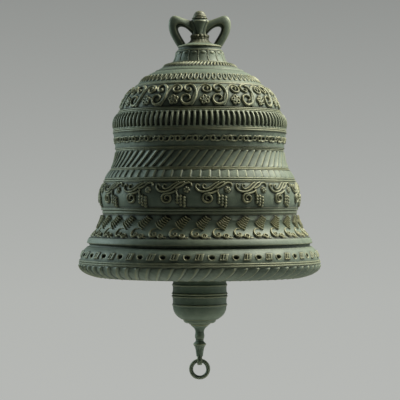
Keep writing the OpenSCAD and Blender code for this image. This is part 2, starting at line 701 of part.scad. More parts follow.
finial_nut();
finial_washer();
crown_casting();
crown_gasket();
eye_bolt();
head_washer();
lock_nut();
bell_wall();
neck_petal_band();
rope_band();
tongue_band();
dome_scroll_band();
flute_band();
chain_band();
slant_flute_band();
bar_band();
vine_band();
leaf_band();
lip_stud_band();
gadroon_band();
shackle_pin();
cotter_pin();
shackle_bow();
clapper_rod();
drum_upper();
drum_lower();
drum_disc();
tail_spindle();
pull_ring();
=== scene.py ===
import math

import bpy
import numpy as np
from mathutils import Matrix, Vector

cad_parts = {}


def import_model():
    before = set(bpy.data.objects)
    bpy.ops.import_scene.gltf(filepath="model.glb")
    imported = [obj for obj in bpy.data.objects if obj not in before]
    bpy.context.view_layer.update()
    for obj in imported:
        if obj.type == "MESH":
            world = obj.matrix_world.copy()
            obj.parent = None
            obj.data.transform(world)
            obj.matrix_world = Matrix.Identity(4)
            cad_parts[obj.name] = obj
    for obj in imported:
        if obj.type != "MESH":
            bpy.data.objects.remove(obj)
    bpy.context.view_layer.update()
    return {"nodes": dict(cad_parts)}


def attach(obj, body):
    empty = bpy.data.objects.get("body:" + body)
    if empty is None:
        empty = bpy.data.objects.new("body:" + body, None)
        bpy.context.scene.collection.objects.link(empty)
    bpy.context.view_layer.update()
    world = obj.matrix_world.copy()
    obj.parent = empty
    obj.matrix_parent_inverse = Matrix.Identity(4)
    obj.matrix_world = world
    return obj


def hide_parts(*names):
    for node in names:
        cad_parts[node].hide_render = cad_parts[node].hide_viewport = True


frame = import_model()

# Sizes are in mm along the frame's axes, until make() writes them in metres

MM = 0.001
TAU = 2 * math.pi

# Lines of (r, z) points


def arc(start, end, sag, steps=24):
    """Points of a circular arc from start down to end, sag mm proud of the chord."""
    start = np.array(start, float)
    end = np.array(end, float)
    chord = np.hypot(*(end - start))
    along = (end - start) / chord
    out = np.array([-along[1], along[0]])
    radius = (chord * chord / 4 + sag * sag) / (2 * sag)
    half_angle = math.asin(chord / (2 * radius))
    centre = (start + end) / 2 - out * (radius - sag)
    f = half_angle * (1 - 2 * np.linspace(0, 1, steps + 1))
    return centre + radius * np.cos(f)[:, None] * out - radius * np.sin(f)[:, None] * along


def smooth(points, steps=8):
    """A Catmull-Rom curve through the points, with that many steps between each pair."""
    p = np.array(points, float)
    p = np.vstack([2 * p[0] - p[1], p, 2 * p[-1] - p[-2]])
    t = np.linspace(0, 1, steps, endpoint=False)[:, None]
    out = []
    for a, b, c, d in zip(p, p[1:], p[2:], p[3:]):
        out.append(0.5 * (2 * b + (c - a) * t + (2 * a - 5 * b + 4 * c - d) * t ** 2
                          + (3 * b - a - 3 * c + d) * t ** 3))
    out.append(p[-2][None])
    return np.vstack(out)


def bezier(a, b, c, d, steps, first=0):
    """A cubic curve from a to d; first = 1 leaves out its first point."""
    u = (np.arange(first, steps + 1) / steps)[:, None]
    a, b, c, d = (np.array(p, float) for p in (a, b, c, d))
    return (1 - u) ** 3 * a + 3 * u * (1 - u) ** 2 * b + 3 * u * u * (1 - u) * c + u ** 3 * d


def rounded(points, radius):
    """The outline with its corners rounded off, by at most a share of each edge beside them."""
    p = np.asarray(points, float)
    steps, share, straight = 3, 0.42, 0.02
    out = [p[0]]
    for a, b, c in zip(p[:-2], p[1:-1], p[2:]):
        u = a - b
        v = c - b
        lu = np.hypot(*u)
        lv = np.hypot(*v)
        r = min(radius, share * lu, share * lv)
        u = u / lu
        v = v / lv
        if 1 + float(u @ v) < straight or r < straight:
            out.append(b)
            continue
        for i in range(steps + 1):
            f = i / steps
            out.append((1 - f) ** 2 * (b + u * r) + 2 * f * (1 - f) * b + f * f * (b + v * r))
    out.append(p[-1])
    return np.array(out)


def arclength(line):
    return np.concatenate([[0], np.cumsum(np.hypot(*np.diff(line, axis=0).T))])


def resample(line, step):
    """The line with its points about one step apart."""
    line = np.asarray(line, float)
    s = arclength(line)
    t = np.linspace(0, s[-1], int(round(s[-1] / step)) + 1)
    return np.column_stack([np.interp(t, s, line[:, 0]), np.interp(t, s, line[:, 1])])


def normals_of(line):
    d = np.gradient(line, axis=0)
    d /= np.hypot(d[:, 0], d[:, 1])[:, None]
    return np.column_stack([-d[:, 1], d[:, 0]])


# The bands' faces. Neck, chain, slant and bar are the CAD source's own; the others differ by up to 4 mm
NECK = arc((35.5, -38), (41, -54.5), -0.8)
ROPE = arc((44, -54.5), (59.2, -63.5), 1.2)
TONGUE = arc((80.8, -75.2), (91.6, -86.5), 1.0)
DOME = arc((97.2, -90), (121.2, -126.5), 4.8, 48)
FLUTE = arc((124.3, -131.5), (129.4, -155.5), 4.0, 48)
CHAIN = arc((130.5, -160.5), (127.4, -183), -0.6)
SLANT = arc((126.4, -188), (133, -212.5), -1.0, 32)
BAR = arc((135, -216.5), (142, -227.5), 0.4)
VINE = arc((144, -233.5), (148.4, -271.5), 4.2, 48)
LEAF = arc((145.6, -280.5), (165.2, -315.5), -4.1, 48)
LIP = arc((168.6, -329.4), (179, -348.5), 2.8, 32)
GADROON = smooth([(180.2, -354.5), (180.6, -357.5), (177.8, -363.2), (170.6, -368.6), (161.2, -372.2),
                  (152, -374.5)])

# Fields of height


class Cell:
    """One repeat of a band's ornament, as a field h of heights above the band's face.

    x runs round the bell, in mm at the band's mean radius, and wraps round; y runs up the face."""

    # no mark reaches further than this from its own line
    REACH = 8

    def __init__(self, line, repeats, cols):
        self.s = arclength(line)
        self.z = line[:, 1]
        self.radius = float(np.mean(line[:, 0]))
        self.pitch = TAU * self.radius / repeats
        self.length = self.s[-1]
        x = np.arange(cols) * self.pitch / cols
        self.x, self.y = np.meshgrid(x, self.length - self.s, indexing="xy")
        # true width of one mm of x in each row
        self.k = (line[:, 0] / self.radius)[:, None] * np.ones_like(self.x)
        self.h = np.zeros_like(self.x)

    def up(self, z):
        """Height along the face, from its foot, of level z."""
        return self.length - float(np.interp(-z, -self.z, self.s))

    def at(self, points, z):
        """Points given by x and by the rise over level z."""
        return [(x, self.up(z + rise)) for x, rise in points]

    def shifts(self, xs):
        """The whole pitches that bring a mark, which spans xs, onto the cell or next to it."""
        lo, hi = min(xs), max(xs)
        first = -math.ceil((hi + self.REACH) / self.pitch)
        last = math.ceil((self.pitch + self.REACH - lo) / self.pitch)
        shifts = [k * self.pitch for k in range(first, last + 1)]
        return [dx for dx in shifts if hi + dx > -self.REACH and lo + dx < self.pitch + self.REACH]

    def along(self, points, width, steps=6):
        """Distances to a smooth line, one field for each shift, in half widths of the line."""
        line = smooth(points, steps)
        width = np.atleast_1d(np.array(width, float))
        w = np.interp(np.linspace(0, len(width) - 1, len(line)), np.arange(len(width)), width)
        for dx in self.shifts([x for x, _ in points]):
            best = np.full_like(self.x, np.inf)
            for i in range(len(line) - 1):
                ax = (line[i, 0] + dx - self.x) * self.k
                ay = line[i, 1] - self.y
                bx = (line[i + 1, 0] + dx - self.x) * self.k - ax
                by = line[i + 1, 1] - self.y - ay
                t = np.clip(-(ax * bx + ay * by) / (bx * bx + by * by + 1e-9), 0, 1)
                half = w[i] + (w[i + 1] - w[i]) * t
                best = np.minimum(best, np.hypot(ax + t * bx, ay + t * by) / half)
            yield best

    def round(self, cx, cy, flat, tilt=0.0):
        """Distances to a centre, one field for each shift; flat widens the round along x."""
        c = math.cos(math.radians(tilt))
        s = math.sin(math.radians(tilt))
        for dx in self.shifts([cx]):
            u = (self.x - cx - dx) * self.k
            v = self.y - cy
            yield np.hypot((u * c + v * s) / flat, -u * s + v * c)

    def stroke(self, points, width, height, hollow=0.0, steps=6):
        """A round ridge along a smooth line; width is its half width, or a list spread along it.

        hollow sinks its middle by that share and leaves two raised edges."""
        sunk = 0.42
        for d in self.along(points, width, steps):
            ridge = np.clip(1 - d ** 2, 0, 1) ** 0.5
            if hollow:
                ridge = ridge - hollow * np.exp(-(d / sunk) ** 2) * (d < 1)
            self.h = np.maximum(self.h, height * ridge)

    def groove(self, points, width, depth):
        for d in self.along(points, width):
            self.h = self.h - depth * np.clip(1 - d ** 2, 0, 1)

    def ball(self, cx, cy, r, height, flat=1.0):
        for d in self.round(cx, cy, flat):
            self.h = np.maximum(self.h, height * np.sqrt(np.clip(1 - (d / r) ** 2, 0, 1)))

    def pit(self, cx, cy, r, depth, flat=1.0, tilt=0.0, power=1.0):
        for d in self.round(cx, cy, flat, tilt):
            self.h = self.h - depth * np.clip(1 - (d / r) ** 2, 0, 1) ** power

    def ring(self, cx, cy, r, width, height, flat=1.0, tilt=0.0):
        for d in self.round(cx, cy, flat, tilt):
            off = np.abs(d - r) / width
            self.h = np.maximum(self.h, height * np.sqrt(np.clip(1 - off ** 2, 0, 1)))


def value_noise(theta, s, radius, size, seed):
    """Smooth noise over a ring from -0.5 to 0.5: theta in turns, s and size in mm."""
    around = int(round(TAU * radius / size))
    grid = np.random.default_rng(seed).random((int(np.max(s) / size) + 3, around))
    row = s / size
    col = (theta % 1.0) * around
    i = np.floor(row).astype(int)
    j = np.floor(col).astype(int)
    u = row - i
    v = col - j
    u = u * u * (3 - 2 * u)
    v = v * v * (3 - 2 * v)
    upper = grid[i, j % around] * (1 - v) + grid[i, (j + 1) % around] * v
    lower = grid[i + 1, j % around] * (1 - v) + grid[i + 1, (j + 1) % around] * v
    return upper * (1 - u) + lower * u - 0.5


def blur(h, sigma):
    """Gaussian blur of a field that wraps round in its columns; sigma is in rows."""
    n = int(2.5 * sigma) + 1
    weights = np.exp(-0.5 * (np.arange(-n, n + 1) / sigma) ** 2)
    weights /= weights.sum()
    h = sum(w * np.roll(h, n - i, axis=1) for i, w in enumerate(weights))
    tall = np.pad(h, ((n, n), (0, 0)), mode="edge")
    rows = h.shape[0]
    return sum(w * tall[i:i + rows] for i, w in enumerate(weights))


# Materials


def add(t, kind, inputs=None, **props):
    """A new node in the tree t, with its properties and input values set."""
    n = t.nodes.new(kind)
    for k, v in props.items():
        setattr(n, k, v)
    for key, value in (inputs or {}).items():
        n.inputs[key].default_value = value
    return n


def noise(t, coord, scale, detail, rough, distort=0.0):
    n = add(t, "ShaderNodeTexNoise", {"Scale": scale, "Detail": detail, "Roughness": rough,
                                      "Distortion": distort})
    t.links.new(coord, n.inputs["Vector"])
    return n.outputs["Fac"]


def ramp(t, fac, stops):
    """A colour ramp; each stop is a place and a colour, or a place and a grey."""
    n = t.nodes.new("ShaderNodeValToRGB")
    while len(n.color_ramp.elements) < len(stops):
        n.color_ramp.elements.new(0.5)
    for e, (at, value) in zip(n.color_ramp.elements, stops):
        e.position = at
        e.color = (value, value, value, 1) if isinstance(value, (int, float)) else (*value, 1)
    t.links.new(fac, n.inputs["Fac"])
    return n.outputs["Color"]


def put(t, socket, value):
    """Feeds a socket from another node's output, or sets its number or colour."""
    if hasattr(value, "links"):
        t.links.new(value, socket)
    elif isinstance(value, (int, float)):
        socket.default_value = value
    else:
        socket.default_value = (*value, 1)


def mix(t, fac, a, b, blend="MIX"):
    n = add(t, "ShaderNodeMix", data_type="RGBA", blend_type=blend)
    # of the node's sockets, 6 and 7 are the two colours, and output 2 is the mixed colour
    put(t, n.inputs[0], fac)
    put(t, n.inputs[6], a)
    put(t, n.inputs[7], b)
    return n.outputs[2]


def maths(t, op, a, b, c=None, clamp=False):
    n = add(t, "ShaderNodeMath", operation=op, use_clamp=clamp)
    put(t, n.inputs[0], a)
    put(t, n.inputs[1], b)
    if c is not None:
        put(t, n.inputs[2], c)
    return n.outputs[0]


def patina(name, ground, light, dark, worn, shade_and_dirt_colour, metal, rough, wear=1.0):
    """Old metal: mottled patina, dirt and painted shade in the hollows, and rubbed, brighter edges.

    The meshes carry two attributes, each from 0 to 1: edge on ridges, and hollow in hollows.
    metal is how metallic it is on the ground and where it is rubbed bare."""
    m = bpy.data.materials.new(name)
    m.use_nodes = True
    t = m.node_tree
    bsdf = t.nodes["Principled BSDF"]
    coord = t.nodes.new("ShaderNodeTexCoord").outputs["Object"]
    edge = add(t, "ShaderNodeAttribute", attribute_name="edge").outputs["Fac"]
    hollow = add(t, "ShaderNodeAttribute", attribute_name="hollow").outputs["Fac"]
    # the scales count features per metre
    big = noise(t, coord, scale=16, detail=3, rough=0.5)
    middle = noise(t, coord, scale=75, detail=5, rough=0.62, distort=0.5)
    fine = noise(t, coord, scale=380, detail=6, rough=0.65)
    speck = noise(t, coord, scale=1300, detail=3, rough=0.6)

    colour = mix(t, ramp(t, middle, [(0.36, 0.0), (0.66, 1.0)]), ground, light)
    colour = mix(t, ramp(t, big, [(0.38, 0.0), (0.66, 0.6)]), colour, dark)
    colour = mix(t, ramp(t, fine, [(0.50, 0.0), (0.70, 0.35)]), colour, light)
    # dirt and painted shade: the hollows darken to a near black that stands in for their shadow
    dirt_and_shade = maths(t, "MULTIPLY", hollow, ramp(t, fine, [(0.30, 0.75), (0.60, 1.0)]), clamp=True)
    colour = mix(t, dirt_and_shade, colour, shade_and_dirt_colour)
    rub = maths(t, "MULTIPLY", edge, wear)
    rub = maths(t, "MULTIPLY", rub, ramp(t, middle, [(0.30, 0.5), (0.60, 1.0)]), clamp=True)
    colour = mix(t, rub, colour, worn)
    t.links.new(colour, bsdf.inputs["Base Color"])

    on_ground, on_bare = metal
    metallic = maths(t, "MULTIPLY_ADD", rub, on_bare - on_ground, on_ground)
    clean = maths(t, "SUBTRACT", 1.0, maths(t, "MULTIPLY", dirt_and_shade, 0.8))
    t.links.new(maths(t, "MULTIPLY", metallic, clean), bsdf.inputs["Metallic"])

    r = maths(t, "MULTIPLY_ADD", fine, 0.24, rough - 0.12)
    r = maths(t, "SUBTRACT", r, maths(t, "MULTIPLY", rub, 0.10))
    r = maths(t, "ADD", r, maths(t, "MULTIPLY", dirt_and_shade, 0.25), clamp=True)
    t.links.new(r, bsdf.inputs["Roughness"])

    lumps = add(t, "ShaderNodeBump", {"Strength": 0.35, "Distance": 0.0012})
    grain = add(t, "ShaderNodeBump", {"Strength": 0.35, "Distance": 0.0005})
    t.links.new(middle, lumps.inputs["Height"])
    t.links.new(maths(t, "MULTIPLY_ADD", speck, 0.4, fine), grain.inputs["Height"])
    t.links.new(lumps.outputs["Normal"], grain.inputs["Normal"])
    t.links.new(grain.outputs["Normal"], bsdf.inputs["Normal"])
    return m


PATINA = patina("aged_bronze", ground=(0.128, 0.172, 0.125), light=(0.190, 0.243, 0.176),
                dark=(0.082, 0.122, 0.092), worn=(0.262, 0.266, 0.148),
                shade_and_dirt_colour=(0.008, 0.011, 0.007), metal=(0.06, 0.22), rough=0.58)
CLAPPER = patina("clapper_bronze", ground=(0.128, 0.185, 0.130), light=(0.172, 0.232, 0.165),
                 dark=(0.092, 0.140, 0.102), worn=(0.31, 0.33, 0.20),
                 shade_and_dirt_colour=(0.014, 0.020, 0.014), metal=(0.05, 0.3), rough=0.6)
WORN = patina("worn_bronze", ground=(0.125, 0.140, 0.092), light=(0.185, 0.195, 0.125),
              dark=(0.080, 0.100, 0.074), worn=(0.27, 0.27, 0.165),
              shade_and_dirt_colour=(0.012, 0.015, 0.010), metal=(0.05, 0.25), rough=0.58, wear=0.7)
IRON = patina("forged_iron", ground=(0.050, 0.046, 0.040), light=(0.080, 0.070, 0.058),
              dark=(0.030, 0.028, 0.026), worn=(0.20, 0.18, 0.15),
              shade_and_dirt_colour=(0.010, 0.009, 0.008), metal=(0.35, 0.75), rough=0.5)
LEATHER = patina("old_leather", ground=(0.060, 0.036, 0.022), light=(0.090, 0.056, 0.034),
                 dark=(0.035, 0.022, 0.015), worn=(0.12, 0.08, 0.05),
                 shade_and_dirt_colour=(0.015, 0.010, 0.007), metal=(0.0, 0.0), rough=0.7)

# Each kind of piece: its material, the body it rides on and its slot
BELL_CAST = (PATINA, "bell", "patina_bronze")
CROWN_WORN = (WORN, "bell", "patina_bronze")
FINIAL_WORN = (WORN, "bell", "worn_bronze")
CLAPPER_CAST = (CLAPPER, "clapper", "clapper_bronze")
RING_FORGED = (CLAPPER, "pull_ring", "clapper_bronze")

# Meshes


def make(name, verts, quads, kind, nodes, edge, hollow=None, sharp=None, tris=()):
    """A smooth mesh from points in mm, with its attributes for wear and for dirt and painted shade,
    riding on a body.

    It takes the place of the CAD nodes. Edges that turn by more than sharp degrees stay hard."""
    material, body, slot_name = kind
    me = bpy.data.meshes.new(name)
    verts = np.asarray(verts, np.float64) * MM
    quads = np.asarray(quads, np.int64).reshape(-1, 4)
    tris = np.asarray(tris, np.int64).reshape(-1, 3)
    me.vertices.add(len(verts))
    me.vertices.foreach_set("co", verts.astype(np.float32).ravel())
    me.loops.add(quads.size + tris.size)
    corners = np.concatenate([quads.ravel(), tris.ravel()]).astype(np.int32)
    me.loops.foreach_set("vertex_index", corners)
    start = np.concatenate([np.arange(len(quads)) * 4, quads.size + np.arange(len(tris)) * 3])
    me.polygons.add(len(start))
    me.polygons.foreach_set("loop_start", start.astype(np.int32))
    me.polygons.foreach_set("use_smooth", np.ones(len(start), bool))
    me.update(calc_edges=True)
    for key, value in (("edge", edge), ("hollow", hollow)):
        a = me.attributes.new(key, "FLOAT", "POINT")
        if value is not None:
            a.data.foreach_set("value", np.asarray(value, np.float32).ravel())
    if sharp:
        me.set_sharp_from_angle(angle=math.radians(sharp))
    me.materials.append(material)
    ob = bpy.data.objects.new(name, me)
    bpy.context.scene.collection.objects.link(ob)
    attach(ob, body)
    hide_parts(*nodes)


def tube_quads(rows, cols):
    """Quads of rows by cols points that close round both the rows and the columns."""
    i, j = np.meshgrid(np.arange(rows), np.arange(cols), indexing="ij")
    i2 = (i + 1) % rows
    j2 = (j + 1) % cols
    corners = (i * cols + j, i2 * cols + j, i2 * cols + j2, i * cols + j2)
    return np.column_stack([a.ravel() for a in corners])


def spin(r, z, angles):
    """Points of radius r and level z, both rows by columns, at the angles of the columns."""
    r = r + 0 * angles
    z = z + 0 * r
    return np.stack([r * np.cos(angles), r * np.sin(angles), z], -1).reshape(-1, 3)


def turn(cols):
    """Angles of evenly spaced columns, as one row."""
    return (np.arange(cols) / cols * TAU)[None, :]


def relief_band(name, line, repeats, cols, draw, depth, seed, phase, ground, step=0.62, wear=1.0,
                soot_and_shade=1.0, rough=1.0, lift=1.0):
    """A closed ring of the bell that replaces the CAD band of the same name.

    draw(cell) draws one of the repeats, on cols columns, with rows one step apart. phase turns
    it, in degrees to the right of the front. ground sinks it all, lift stretches its heights,
    and depth is how far its back lies inside its face. wear scales the rubbed edges and rough
    the unevenness of the casting; the remaining factor scales the dirt and painted shade in the
    hollows."""
    line = resample(line, step)
    cell = Cell(line, repeats, cols)
    draw(cell)
    h = np.tile(lift * cell.h, (1, repeats))
    total = cols * repeats
    theta = np.arange(total) / total
    s2, t2 = np.meshgrid(cell.s, theta, indexing="ij")

    def uneven(size, draw_number):
        return value_noise(t2, s2, cell.radius, size, seed + draw_number)
    # no two repeats were carved or have worn alike
    h = h * (1 + 0.20 * uneven(24, 0) + 0.20 * uneven(6, 1))
    h = h + rough * (0.16 * uneven(8, 2) + 0.09 * uneven(2.6, 3)) - ground
    margin = 0.7
    h = h * np.clip(np.minimum(cell.s, cell.s[-1] - cell.s) / margin, 0, 1)[:, None]

    # what stands over its surroundings wears, and what lies under them gets dirt and painted shade
    near = h - blur(h, 1.0 / step)
    far = h - blur(h, 2.6 / step)
    edge = np.clip(near * 1.9 + far * 0.3, 0, 1) * wear
    hollow = np.clip(-near * 1.7, 0, 1) * 0.7 + np.clip(-far * 0.9, 0, 1) * 0.8
    hollow = np.clip(hollow * soot_and_shade, 0, 1)

    n = normals_of(line)
    angles = (theta * TAU - math.pi / 2 + math.radians(phase))[None, :]
    face = spin(line[:, :1] + n[:, :1] * h, line[:, 1:] + n[:, 1:] * h, angles)
    back = np.array([line[-1], line[0]]) - (depth, 0)
    verts = np.vstack([face, spin(back[:, :1], back[:, 1:], angles)])
    plain = np.zeros((2, total))
    make(name + "_relief", verts, tube_quads(len(line) + 2, total), BELL_CAST, [name],
         np.vstack([edge, plain]), np.vstack([hollow, plain]))


def lathe(name, outline, kind, nodes, corner, cols=160, centre=(0, 0, 0), wear=1.0, closed=True):
    """A turned piece from an outline of (r, z) points, top to bottom; r = 0 makes a pole.

    Outer corners count as worn edges, and inner corners as hollows with dirt and painted shade.
    closed joins the outline's end to its start. corner is the angle from which an edge stays hard."""
    tiny = 1e-6
    # a corner's bend is taken over the mean of its two edges, kept between these lengths
    shortest, longest = 0.35, 3.0
    gain = 1.5
    line = np.asarray(outline, float)
    angles = turn(cols)[0]
    d = np.diff(line, axis=0)
    length = np.hypot(*d.T) + 1e-9
    bend = (d[:-1, 0] * d[1:, 1] - d[:-1, 1] * d[1:, 0]) / (length[:-1] * length[1:])
    bend = bend / np.clip((length[:-1] + length[1:]) / 2, shortest, longest)
    bend = np.concatenate([[0], -bend, [0]])
    verts, rows, edge, hollow = [], [], [], []
    count = 0
    for (r, z), b in zip(line, bend):
        n = 1 if abs(r) < tiny else cols
        if n == 1:
            verts.append(np.array([[0, 0, z]]))
            rows.append(np.full(cols, count))
        else:
            verts.append(np.stack([r * np.cos(angles), r * np.sin(angles), np.full(cols, z)], -1))
            rows.append(count + np.arange(cols))
        edge.append(np.full(n, np.clip(b * gain * wear, 0, 1)))
        hollow.append(np.full(n, np.clip(-b * gain, 0, 1)))
        count += n
    quads, tris = [], []
    for a, b in zip(rows[:-1], rows[1:]):
        a2 = np.roll(a, -1)
        b2 = np.roll(b, -1)
        if a[0] == a[1]:
            tris.append(np.column_stack([a, b, b2]))
        elif b[0] == b[1]:
            tris.append(np.column_stack([a, b, a2]))
        else:
            quads.append(np.column_stack([a, b, b2, a2]))
    if closed and abs(line[0, 0]) > tiny:
        a, b = rows[-1], rows[0]
        quads.append(np.column_stack([a, b, np.roll(b, -1), np.roll(a, -1)]))
    tris = np.vstack(tris) if tris else ()
    make(name, np.vstack(verts) + np.asarray(centre, float), np.vstack(quads), kind, nodes,
         np.concatenate(edge), np.concatenate(hollow), corner, tris)


# Ornament of the bands: x from the middle of a motif, rises over its own level z


def draw_neck(c):
    # staves with a round head each, and a fine raised line where two of them meet
    v = c.y / c.length
    head = np.clip((0.98 - v) / 0.25, 0, 1)
    foot = np.clip(0.35 + 0.65 * v, 0, 1)
    c.h = 0.2 + 0.7 * np.sin(np.pi * (c.x / c.pitch)) ** 0.7 * head * foot
    c.stroke([(0.6, 0.3), (-0.5, c.length * 0.5), (0.4, c.length - 1.4)], [0.8, 0.6, 0.8], 1.1)
    c.ball(c.pitch * 0.52, c.length - 3.4, 2.6, 1.5, flat=1.7)
    c.pit(c.pitch * 0.88, c.length - 2.2, 1.3, 0.8)


def draw_rope(c):
    # long slanting pearls in a flat bed
    lean, half_width, half_length, height = 0.42, 1.75, 6.2, 1.9
    v = c.y - c.length * 0.50
    for k in (-1, 0, 1, 2):
        u = (c.x - c.pitch * k) * c.k
        d = np.hypot((u - lean * v) / half_width, v / half_length)
        c.h = np.maximum(c.h, height * np.sqrt(np.clip(1 - d ** 2, 0, 1)))


def draw_tongue(c):
    # upright ovals with a sunk heart, side by side
    x = c.pitch / 2
    y = c.length * 0.48
    c.ring(x, y, 6.1, 1.3, 1.3, flat=0.44, tilt=-8)
    c.pit(x - 0.2, y, 3.4, 0.5, flat=0.36, tilt=-8)


def draw_dome(c):
    z = -115.5
    # a hollow stem that rises from the left
    stem = c.at([(-18, -7.5), (-16.5, -3), (-15, 2), (-12.4, 10), (-9.6, 16.5), (-5.5, 20.2),
                 (-0.5, 21.6)], z)
    c.stroke(stem, [2.0, 3.0, 3.1, 2.9, 2.4, 1.7, 1.3], 2.6, hollow=0.42)
    # the curl at its top
    curl = c.at([(-5.5, 20.2), (0, 21.8), (5.6, 21.0), (9.2, 17.6), (8.6, 13.2), (4.2, 11.2),
                 (-0.8, 12.3), (-3.0, 15.6), (-0.8, 18.6), (3.2, 18.8), (4.9, 16.6), (3.4, 15.0)], z)
    c.stroke(curl, [1.4, 1.6, 1.7, 1.6, 1.4, 1.3, 1.2, 1.1, 1.0], 2.4)
    c.ball(3.2, c.up(z + 16.4), 1.3, 2.0)
    # the great scroll, shaped like an S, to its right
    scroll = c.at([(20.9, 16.5), (23.6, 15.4), (22.6, 12.6), (18.6, 12.6), (14.6, 15.4), (13.9, 19.0),
                   (17.2, 21.6), (23.0, 22.2), (28.4, 19.2), (31.2, 13.4), (31.6, 6.6), (29.6, 0.2),
                   (25.4, -4.8), (19.4, -7.2), (13.8, -5.2), (11.2, 0.0), (12.8, 5.2), (18.0, 7.2),
                   (22.6, 5.0), (22.8, 0.8), (19.9, -1.2)], z)
    c.stroke(scroll, [0.9, 1.2, 1.3, 1.4, 1.5, 1.6, 1.9, 2.2, 2.3, 2.4, 2.5, 2.4, 2.2, 1.9, 1.7, 1.5,
                      1.3, 1.1, 1.0], 2.6)
    # a blossom of five petals
    for k in range(5):
        f = math.radians(26 + 72 * k)
        x = 4.4 * math.cos(f)
        y = c.up(z) + 4.6 * math.sin(f)
        c.ring(x, y, 2.2, 1.4, 2.4)
        c.pit(x, y, 1.3, 1.6)
    c.ball(0, c.up(z), 1.9, 2.4)


def draw_flute(c):
    # niches side by side, with a round arch over each
    across = np.abs(2 * (c.x / c.pitch % 1.0) - 1)
    half = 0.66
    spring = c.length - 3.4
    rise = np.clip((c.y - spring) / (half * c.pitch / 2), 0, 1)
    w = half * np.sqrt(np.clip(1 - rise ** 2, 0, 1))
    niche = np.sqrt(np.clip(1 - (across / np.maximum(w, 0.01)) ** 2, 0, 1)) * (w > 0.05)
    c.h = 0.7 - 3.3 * niche * np.clip((c.y - 1.2) / 1.6, 0, 1)


def draw_chain(c):
    x = c.pitch * 0.2
    y = c.up(-171.5)
    c.stroke([(x + 3.0, y - 3.3), (x + 7.0, y - 4.2), (x + 11.2, y - 3.0), (x + 12.8, y + 0.4),
              (x + 15.6, y + 3.4), (x + 19.4, y + 2.6), (x + 22.0, y + 3.6)],
             [0.8, 1.0, 1.1, 1.1, 0.9], 1.5)
    c.stroke([(x + 1.6, y + 3.8), (x + 5.4, y + 3.4), (x + 9.4, y + 3.6)], [0.9, 0.7], 1.2)
    c.stroke([(x + 14.6, y - 2.8), (x + 18.4, y - 2.8), (x + 19.6, y + 0.2)], [0.8, 0.9, 0.7], 1.3)
    # the link's ring, and two deep dots between it and the next
    c.ring(x, y, 3.6, 1.25, 1.8, flat=0.9)
    c.pit(x, y, 2.3, 1.5, flat=0.9)
    c.pit(x + 8.6, y - 0.4, 2.6, 2.6, flat=1.1)
    c.pit(x + 16.3, y - 0.2, 1.8, 2.0)


def flutes(c, lean, height, drop, end):
    """Flutes that rise slowly to the right and drop steeply over the share drop of a pitch.

    They lean that many pitches over from foot to top and fade out over end mm at both ends."""
    v = c.y / c.length
    t = (c.x / c.pitch - (v - 0.5) * lean) % 1.0
    rise = np.clip(t / (1 - drop), 0, 1) ** 1.5
    fall = np.clip((1 - t) / drop, 0, 1)
    c.h = height * (np.minimum(rise, fall) - 0.4)
    c.h = c.h * np.clip(c.y / end, 0, 1) ** 0.6 * np.clip((c.length - c.y) / end, 0, 1) ** 0.6


def draw_slant(c):
    flutes(c, lean=1.52, height=2.3, drop=0.16, end=1.6)


def draw_bar(c):
    flutes(c, lean=0.10, height=1.5, drop=0.16, end=1.0)


def draw_gadroon(c):
    flutes(c, lean=1.05, height=2.7, drop=0.24, end=2.4)


def draw_vine(c):
    z = -258.0
    # the wave's outer line from its hook at the left, its inner curl, and its tip
    wave = c.at([(-11.8, 18.6), (-14.6, 20.6), (-16.8, 18.8), (-16.2, 14.8), (-12.6, 11.4),
                 (-7.4, 10.0), (-1.2, 10.3), (4.6, 12.3), (9.6, 15.6), (14.2, 19.2), (19.0, 22.0),
                 (24.6, 23.4)], z)
    c.stroke(wave, [0.9, 1.1, 1.3, 1.4, 1.4, 1.3, 1.2], 2.1)
    curl = c.at([(-2.4, 19.2), (-5.2, 20.4), (-7.2, 18.2), (-6.2, 15.2), (-2.4, 13.9), (2.2, 15.6),
                 (6.6, 18.6), (11.0, 21.6), (16.0, 23.6)], z)
    c.stroke(curl, [0.8, 1.0, 1.1, 1.1, 1.0], 1.8)
    tip = c.at([(12.6, 14.4), (17.0, 16.2), (21.6, 18.4), (26.0, 21.6), (31.0, 22.8), (34.6, 21.2),
                (35.2, 18.6)], z)
    c.stroke(tip, [1.1, 1.3, 1.4, 1.3, 1.2], 2.0)
    # the volute below and its stem
    volute = c.at([(14.6, 12.0), (9.6, 9.4), (4.2, 7.6), (-1.0, 7.0), (-5.2, 5.6), (-7.2, 2.0),
                   (-6.0, -2.4), (-2.0, -5.0), (2.8, -4.3), (5.6, -0.6), (4.6, 3.4), (0.8, 4.9),
                   (-2.4, 3.0), (-2.4, -0.2), (0.4, -1.2)], z)
    c.stroke(volute, [1.0, 1.3, 1.5, 1.5, 1.5, 1.6, 1.7, 1.7, 1.6, 1.5, 1.3, 1.2, 1.1, 0.9], 2.3)
    # a rosette under the tip, cut into six
    x = 28.6
    y = c.up(z + 12.8)
    c.ball(x, y, 4.9, 2.4)
    for k in range(6):
        f = math.radians(20 + 60 * k)
        c.groove([(x + r * math.cos(f), y + r * math.sin(f)) for r in (1.1, 4.9)], 0.7, 1.3)
    c.pit(x, y, 1.0, 1.0)
    # grapes on their stalk
    c.stroke(c.at([(13.4, 11.6), (14.4, 7.8), (15.6, 4.6)], z), [1.0, 1.5], 2.0)
    grapes = {15.6: (2.8, -1.2, -5.2), 20.4: (3.2, -0.8, -4.8, -8.6), 25.2: (1.6, -2.4, -6.4, -10.4)}
    for x, rises in grapes.items():
        for rise in rises:
            c.ball(x, c.up(z + rise), 2.45, 2.5)


